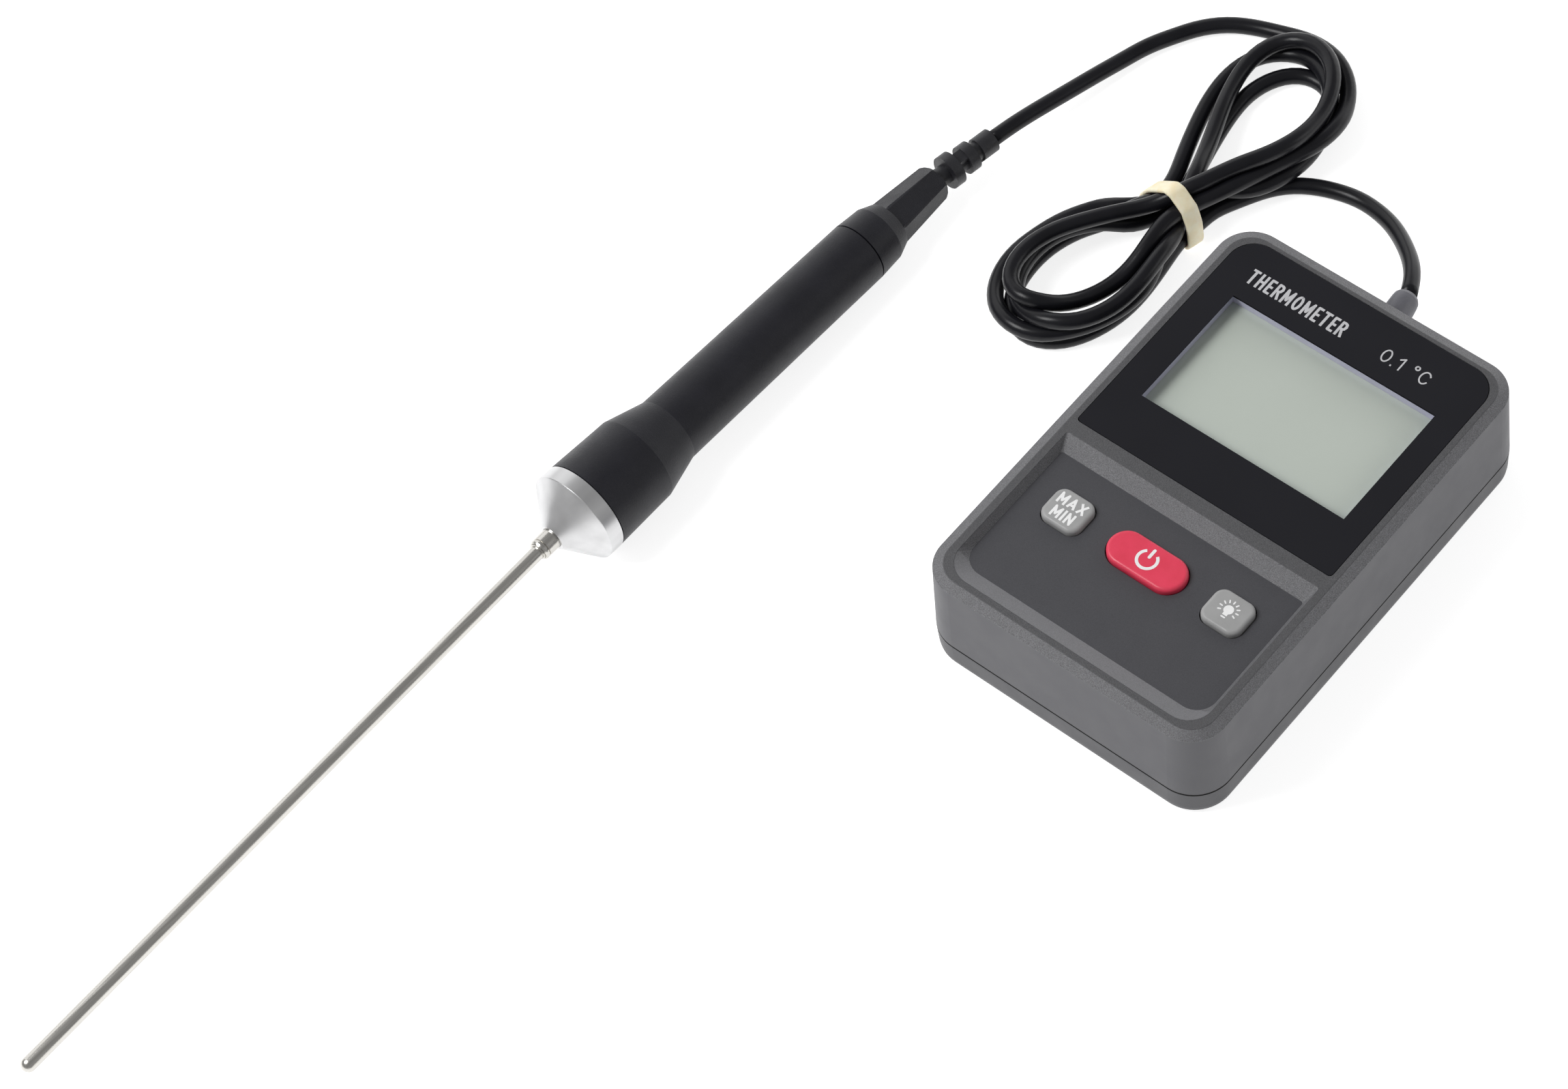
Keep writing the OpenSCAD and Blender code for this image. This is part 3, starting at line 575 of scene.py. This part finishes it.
def cord_look():
    """Black satin cord sheath with faint dust and long, soft unevenness."""
    look = Look("cord_sheath", 0.27)
    look.shader.inputs["Specular IOR Level"].default_value = 0.25
    dust = look.between(look.noise(0.35, 2, roughness=0.8), 0, 1, 0.72, 0.8)
    base = look.ramp(look.noise(9, 3), (0.006, 0.006, 0.008), (0.010, 0.010, 0.013))
    look.colour(look.mix(look.times(dust, 0.12), base, (0.25, 0.25, 0.25)))
    look.roughness(look.between(look.noise(12, 2), 0.27, 0.33))
    look.bump(look.noise(6, 2), 0.02)
    return look


HANDLE_AT = (-0.11715, -0.085, 0.01195)
HANDLE_TILT, HANDLE_HEADING = 2.2, -91.78


def handle_place(look):
    """Coordinates along and round the handle: z runs forward along its axis."""
    node = look.add("ShaderNodeMapping", vector_type="TEXTURE")
    look.link(look.place, node.inputs["Vector"])
    node.inputs["Location"].default_value = HANDLE_AT
    node.inputs["Rotation"].default_value = (0, math.radians(90 - HANDLE_TILT), math.radians(HANDLE_HEADING))
    return node.outputs[0]


def grip_look():
    """Black plastic with a fine, slightly dusty grain."""
    look = Look("grip_plastic", 0.42)
    look.shader.inputs["Specular IOR Level"].default_value = 0.32
    fine = look.noise(0.28, 3, roughness=0.7)
    base = look.ramp(look.noise(8, 3), (0.009, 0.009, 0.013), (0.013, 0.013, 0.018))
    look.colour(look.mix(look.between(fine, 0, 0.25, 0.58, 0.78), base, (0.05, 0.05, 0.058)))
    look.roughness(look.between(look.noise(5, 2), 0.38, 0.46))
    look.bump(fine, 0.07)
    return look


def turned_look():
    """Turned aluminium: fine rings round the handle's axis and soft streaks along it; the streaks are
    painted reflection bands in its colour.
    """
    look = Look("turned_aluminium", 0.34, metal=1.0)
    along = handle_place(look)
    rings = look.noise(0.12, 2, look.stretched((0.02, 0.02, 1.0), along))
    # painted reflection: light and dark streaks along the axis, painted into the colour
    bands = look.noise(9, 3, look.stretched((1, 1, 0.15), along))
    streaked_reflection_colour = look.ramp(bands, grey(0.512, 1.01), grey(0.768, 1.01))
    look.colour(look.mix(look.between(rings, 0, 0.04), streaked_reflection_colour, grey(0.512, 1.01)))
    look.roughness(look.between(rings, 0.32, 0.37))
    look.bump(rings, 0.0002)
    return look


def drawn_look():
    """Drawn steel tube: faint streaks along its length, slightly warm."""
    look = Look("drawn_steel", 0.26, metal=1.0)
    streaks = look.noise(0.5, 2, look.stretched((1, 1, 0.03), handle_place(look)))
    look.colour(look.ramp(streaks, (0.56, 0.545, 0.515), (0.65, 0.635, 0.60)))
    look.roughness(look.between(streaks, 0.22, 0.3))
    look.bump(streaks, 0.0004)
    return look


def board_look():
    """Green solder resist over a pattern of traces."""
    look = Look("circuit_board", 0.45, coat=0.3)
    trace = look.add("ShaderNodeTexBrick")
    look.link(look.place, trace.inputs["Vector"])
    trace.inputs["Scale"].default_value = 160
    trace.inputs["Mortar Size"].default_value = 0.06
    mask = look.between(trace.outputs["Fac"], 0, 0.5, 0.2, 0.8)
    resist = look.ramp(look.noise(7), (0.012, 0.11, 0.045), (0.018, 0.15, 0.06))
    look.colour(look.mix(mask, resist, (0.05, 0.28, 0.12)))
    look.bump(trace.outputs["Fac"], 0.04)
    return look


def band_look():
    """Pale natural rubber, a little translucent."""
    look = Look("natural_rubber", 0.55)
    look.shader.inputs["Subsurface Weight"].default_value = 0.08
    look.shader.inputs["Subsurface Scale"].default_value = 0.002
    look.colour(look.ramp(look.noise(2.4, 4), (0.93, 0.80, 0.52), (1.0, 0.93, 0.72)))
    look.roughness(look.between(look.noise(1.5, 2), 0.48, 0.62))
    look.bump(look.noise(0.5, 3), 0.05)
    return look


LOOKS = {
    "case": case_look(),
    "lens": lens_look(),
    "print": plain("printed_border", (0.010, 0.010, 0.015), (0.014, 0.014, 0.02), 0.3, 12),
    "display": display_look(),
    "guide": plain("light_guide", (0.75, 0.78, 0.72), (0.85, 0.88, 0.82), 0.25, 8),
    "contact_rubber": plain("contact_rubber", (0.55, 0.22, 0.28), (0.65, 0.3, 0.36), 0.6, 1),
    "board": board_look(),
    "chips": plain("chip_mould", (0.012, 0.012, 0.012), (0.03, 0.03, 0.03), 0.5, 1.5),
    "switches": plain("switch_metal", (0.4, 0.4, 0.4), (0.55, 0.55, 0.55), 0.35, 2, metal=1.0),
    "grey_key": plain(
        "grey_key_rubber", grey(0.345, 1), grey(0.385, 1), 0.45, 4, grain_mm=0.4, depth_mm=0.02
    ),
    "red_key": plain(
        "red_key_rubber", (0.77, 0.046, 0.095), (0.84, 0.055, 0.115), 0.4, 4, grain_mm=0.4, depth_mm=0.02
    ),
    "battery": plain("battery_sleeve", (0.62, 0.58, 0.45), (0.7, 0.66, 0.52), 0.3, 9),
    "plated": plain("plated_metal", (0.55, 0.55, 0.55), (0.7, 0.7, 0.7), 0.25, 3, metal=1.0),
    "snap": plain("snap_mould", (0.012, 0.012, 0.012), (0.025, 0.025, 0.025), 0.5, 2),
    "red_wire": plain("red_insulation", (0.45, 0.01, 0.01), (0.55, 0.02, 0.02), 0.4, 2),
    "black_wire": plain("black_insulation", (0.01, 0.01, 0.01), (0.02, 0.02, 0.02), 0.4, 2),
    "screws": plain("zinc_screws", (0.42, 0.42, 0.42), (0.55, 0.55, 0.55), 0.38, 2, metal=1.0),
    "gland": plain(
        "gland_rubber", (0.13, 0.13, 0.15), (0.155, 0.155, 0.175), 0.45, 5, grain_mm=0.5, depth_mm=0.03
    ),
    "cord": cord_look(),
    "cores": plain("core_insulation", (0.55, 0.2, 0.03), (0.65, 0.26, 0.05), 0.4, 2),
    "header": plain("header_mould", (0.7, 0.7, 0.64), (0.8, 0.8, 0.74), 0.45, 3),
    "band": band_look(),
    "relief": plain(
        "relief_rubber", (0.010, 0.010, 0.013), (0.018, 0.018, 0.022), 0.42, 4, grain_mm=0.4, depth_mm=0.04
    ),
    "tie": plain("tie_nylon", (0.7, 0.7, 0.7), (0.8, 0.8, 0.8), 0.4, 3),
    "sleeves": plain("shrunk_sleeve", (0.5, 0.5, 0.5), (0.6, 0.6, 0.6), 0.4, 2),
    "white_wire": plain("lead_insulation", (0.75, 0.75, 0.72), (0.85, 0.85, 0.8), 0.25, 2),
    "potting": plain("cast_resin", (0.04, 0.05, 0.05), (0.07, 0.08, 0.08), 0.2, 2),
    "grip": grip_look(),
    "cone": turned_look(),
    "steel": drawn_look(),
    "wire": plain("bare_wire", (0.55, 0.55, 0.52), (0.66, 0.66, 0.64), 0.3, 1, metal=1.0),
    "sensor": plain("glazed_ceramic", (0.7, 0.64, 0.54), (0.8, 0.74, 0.64), 0.2, 2),
    "white_print": plain("white_print", (0.88, 0.88, 0.88), (0.94, 0.94, 0.94), 0.45, 2, depth_mm=0),
    "grey_print": plain("pale_print", (0.55, 0.55, 0.57), (0.62, 0.62, 0.64), 0.4, 2, depth_mm=0),
}
NODE_LOOKS = {
    "case": ("front_case", "rear_case", "battery_door"),
    "lens": ("display_lens",), "print": ("window_print",), "display": ("display_glass",),
    "guide": ("backlight_guide",), "contact_rubber": ("contact_strips",), "board": ("circuit_board",),
    "chips": ("board_chips",), "switches": ("key_switches",),
    "grey_key": ("key_max_min", "key_light"), "red_key": ("key_power",),
    "battery": ("battery_body",), "plated": ("battery_studs",), "snap": ("battery_snap",),
    "red_wire": ("snap_lead_red",), "black_wire": ("snap_lead_black",),
    "screws": ("case_screws", "board_screws"), "gland": ("cable_gland",),
    "cord": ("cord_tail_meter", "cord_tail_probe"), "cores": ("meter_wires", "tail_wires"),
    "header": ("wire_header",), "relief": ("strain_relief",), "tie": ("cord_tie",),
    "sleeves": ("splice_sleeves",), "white_wire": ("lead_wires", "lead_sleeve"),
    "potting": ("lead_potting",), "grip": ("handle_end_cap", "handle_grip"), "cone": ("nose_cone",),
    "steel": ("tube_ferrule", "probe_tube"), "wire": ("sensor_leads",), "sensor": ("sensor_element",),
}


def dress(piece, look):
    piece.data.materials.clear()
    piece.data.materials.append(LOOKS[look].material)


for look_name, members in NODE_LOOKS.items():
    for member in members:
        dress(nodes[member], look_name)
dress(cord, "cord")
dress(band, "band")


# ---- Printing on the keys and the lens ----

PRINT_T, PRINT_STEP = 0.025, 0.003
KEY_Y = -26.4
KEY_PITCH = 21.6


def top_of(node):
    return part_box(node)[1].z


def flat_shape(name, outlines, z, centre):
    """Thin printed shapes from outlines in millimetres, laid at a height in metres."""

    def ring(outline, level):
        return [((centre[0] + x) * MM, (centre[1] + y) * MM, level) for x, y in outline]

    def build(bm):
        for k, outline in enumerate(outlines):
            # each ends a little higher than the one before, over nine steps, so neighbours share no plane
            top = z + (PRINT_T + PRINT_STEP * (k % 9)) * MM
            rings_mesh(bm, [ring(outline, z - 0.01 * MM), ring(outline, top)])

    return mesh_piece(name, build, smooth=False)


def arc_strip(radius, width, start, stop, count=40):
    """A bent bar: part of a ring between two angles."""
    angles = [math.radians(start + (stop - start) * k / count) for k in range(count + 1)]
    outer = [((radius + width / 2) * math.cos(a), (radius + width / 2) * math.sin(a)) for a in angles]
    inner = [((radius - width / 2) * math.cos(a), (radius - width / 2) * math.sin(a)) for a in angles]
    return outer + inner[::-1]


def round_bar(a, b, width, count=8):
    """A straight bar with round ends."""
    way = math.atan2(b[1] - a[1], b[0] - a[0])
    points = []
    for end, turn in ((b, -90), (a, 90)):
        for k in range(count + 1):
            t = way + math.radians(turn + 180 * k / count)
            points.append((end[0] + width / 2 * math.cos(t), end[1] + width / 2 * math.sin(t)))
    return points


def power_symbol():
    return [arc_strip(2.3, 0.72, 127, 413), round_bar((0, 0.75), (0, 2.75), 0.72)]


def bulb_symbol():
    """A light bulb with a base and nine rays."""

    def round_the_bulb(radius, degrees):
        a = math.radians(degrees)
        return (radius * math.cos(a), 0.25 + radius * math.sin(a))

    glass = [round_the_bulb(1.15, t) for t in range(-60, 241, 12)] + [(-0.58, -1.35), (0.58, -1.35)]
    rays = []
    for k in range(9):
        turn = -25 + 230 * k / 8
        rays.append(round_bar(round_the_bulb(1.8, turn), round_the_bulb(2.35, turn), 0.34))
    return [glass, round_bar((-0.4, -1.85), (0.4, -1.85), 0.38)] + rays


# Strokes of the capital letters and figures used, in a box one unit high
BOWL = [(0.3, 1), (0.5, 0.95), (0.6, 0.75), (0.5, 0.55), (0.3, 0.5)]
ROUND = [(0.34 + 0.34 * math.sin(a), 0.5 + 0.5 * math.cos(a)) for a in np.linspace(0, 2 * math.pi, 33)]
STROKES = {
    "A": (0.76, [[(0.02, 0.06), (0.38, 1), (0.74, 0.06)], [(0.18, 0.3), (0.58, 0.3)]]),
    "C": (0.6, [ROUND[11:] + ROUND[1:6]]),
    "E": (0.44, [[(0.44, 0), (0, 0), (0, 1), (0.44, 1)], [(0, 0.5), (0.38, 0.5)]]),
    "H": (0.62, [[(0, 0), (0, 1)], [(0.62, 0), (0.62, 1)], [(0, 0.5), (0.62, 0.5)]]),
    "I": (0.0, [[(0, 0), (0, 1)]]),
    "M": (0.82, [[(0, 0), (0, 1), (0.41, 0.25), (0.82, 1), (0.82, 0)]]),
    "N": (0.64, [[(0, 0), (0, 1), (0.64, 0), (0.64, 1)]]),
    "O": (0.68, [ROUND]),
    "R": (0.6, [[(0, 0), (0, 1)] + BOWL + [(0, 0.5)], [(0.3, 0.5), (0.62, 0)]]),
    "T": (0.62, [[(0, 1), (0.62, 1)], [(0.31, 0), (0.31, 0.9)]]),
    "X": (0.7, [[(0.03, 0.05), (0.67, 0.95)], [(0.03, 0.95), (0.67, 0.05)]]),
    "0": (0.6, [[(0.88 * x, y) for x, y in ROUND]]),
    "1": (0.3, [[(0.3, 0), (0.3, 1), (0, 0.78)]]),
    ".": (0.0, [[(0, -0.01), (0, 0.01)]]),
    "°": (0.3, [[(0.44 * x, 0.72 + 0.3 * y) for x, y in ROUND]]),
    " ": (0.2, []),
}


def stroke_outlines(line, width):
    """Bars along each stretch of a stroke, discs at its corners, square ends half a stroke further."""
    shapes = []
    half = width / 2
    closed = math.dist(line[0], line[-1]) < width / 100
    for k, ((ax, ay), (bx, by)) in enumerate(zip(line, line[1:])):
        long = math.hypot(bx - ax, by - ay)
        ux, uy = (bx - ax) / long * half, (by - ay) / long * half
        if k == 0 and not closed:
            ax, ay = ax - ux, ay - uy
        if k == len(line) - 2 and not closed:
            bx, by = bx + ux, by + uy
        sx, sy = -uy, ux
        shapes.append([(ax + sx, ay + sy), (ax - sx, ay - sy), (bx - sx, by - sy), (bx + sx, by + sy)])
    corners = line[1:-1] + ([line[0]] if closed else [])
    for cx, cy in corners:
        turns = [k * math.pi / 6 for k in range(12)]
        shapes.append([(cx + half * math.cos(t), cy + half * math.sin(t)) for t in turns])
    return shapes


def text_width(text, space):
    return sum(STROKES[c][0] for c in text) + space * (len(text) - 1)


def lettering(text, height, weight, start, stretch=1.0, space=0.42, centred=False):
    """Outlines of a line of letters. Start is the left end of its baseline, or the middle of it."""
    scale = height * (1 - weight)
    foot = start[1] + height * weight / 2
    at = -text_width(text, space) / 2 if centred else weight / 2
    shapes = []
    for letter in text:
        wide, lines = STROKES[letter]
        for line in lines:
            placed = [(start[0] + (at + x) * scale * stretch, foot + y * scale) for x, y in line]
            shapes += stroke_outlines(placed, height * weight)
        at += wide + space
    return shapes


def print_on(piece, body, look):
    dress(piece, look)
    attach(piece, body)


max_min = lettering("MAX", 3.0, 0.19, (0, 0.25), 0.84, 0.5, centred=True)
max_min += lettering("MIN", 3.0, 0.19, (0, -3.3), 0.84, 0.5, centred=True)
print_on(flat_shape("max_min_print", max_min, top_of("key_max_min"), (-KEY_PITCH, KEY_Y)),
         "key_max_min", "white_print")
print_on(flat_shape("power_print", power_symbol(), top_of("key_power"), (0, KEY_Y)),
         "key_power", "white_print")
print_on(flat_shape("bulb_print", bulb_symbol(), top_of("key_light"), (KEY_PITCH, KEY_Y)),
         "key_light", "white_print")
title = lettering("THERMOMETER", 4.2, 0.15, (-27, 44), 0.58, 0.56)
print_on(flat_shape("lens_title", title, top_of("display_lens"), (0, 0)), INSTRUMENT, "grey_print")
unit = lettering("0.1 °C", 3.6, 0.1, (9, 44.3), 1.0, 0.34)
print_on(flat_shape("lens_unit", unit, top_of("display_lens"), (0, 0)), INSTRUMENT, "grey_print")


# ---- Studio ----

MIDDLE = (-0.04, -0.03, 0)
FLOOR_REACH = 6.0
FLOOR_LEVEL = -0.0002


def area_light(name, place, size, power):
    data = bpy.data.lights.new(name, "AREA")
    data.shape = "RECTANGLE"
    data.size, data.size_y = size
    data.energy = power
    light = bpy.data.objects.new(name, data)
    bpy.context.scene.collection.objects.link(light)
    light.location = place
    light.rotation_mode = "QUATERNION"
    light.rotation_quaternion = (Vector(MIDDLE) - Vector(place)).to_track_quat("-Z", "Y")


def add_floor():
    def build(bm):
        corners = ((-1, -1), (1, -1), (1, 1), (-1, 1))
        bm.faces.new([bm.verts.new((x * FLOOR_REACH, y * FLOOR_REACH, FLOOR_LEVEL)) for x, y in corners])

    floor = mesh_piece("floor", build, smooth=False)
    look = Look("floor_paper", 0.9)
    look.colour(look.ramp(look.noise(400, 2), grey(0.60, 1), grey(0.62, 1)))
    look.shader.inputs["Specular IOR Level"].default_value = 0.1
    look.shader.inputs["Emission Color"].default_value = (1, 1, 1, 1)
    look.shader.inputs["Emission Strength"].default_value = 0.8
    floor.data.materials.append(look.material)


def add_studio():
    world = bpy.data.worlds.new("studio")
    world.use_nodes = True
    background = world.node_tree.nodes["Background"]
    background.inputs["Color"].default_value = (1, 1, 1, 1)
    background.inputs["Strength"].default_value = 0.3
    scene = bpy.context.scene
    scene.world = world
    scene.view_settings.view_transform = "Standard"
    area_light("front_left_softbox", (-0.46, -0.42, 0.72), (0.4, 0.4), 5.5)
    area_light("left_wall", (-1.0, 0.35, 0.48), (1.2, 0.85), 3.0)
    area_light("back_wall", (-0.1, 1.15, 0.3), (1.2, 0.5), 2.4)
    area_light("right_wall", (0.75, 0.85, 0.4), (0.6, 0.5), 1.3)
    add_floor()


add_studio()
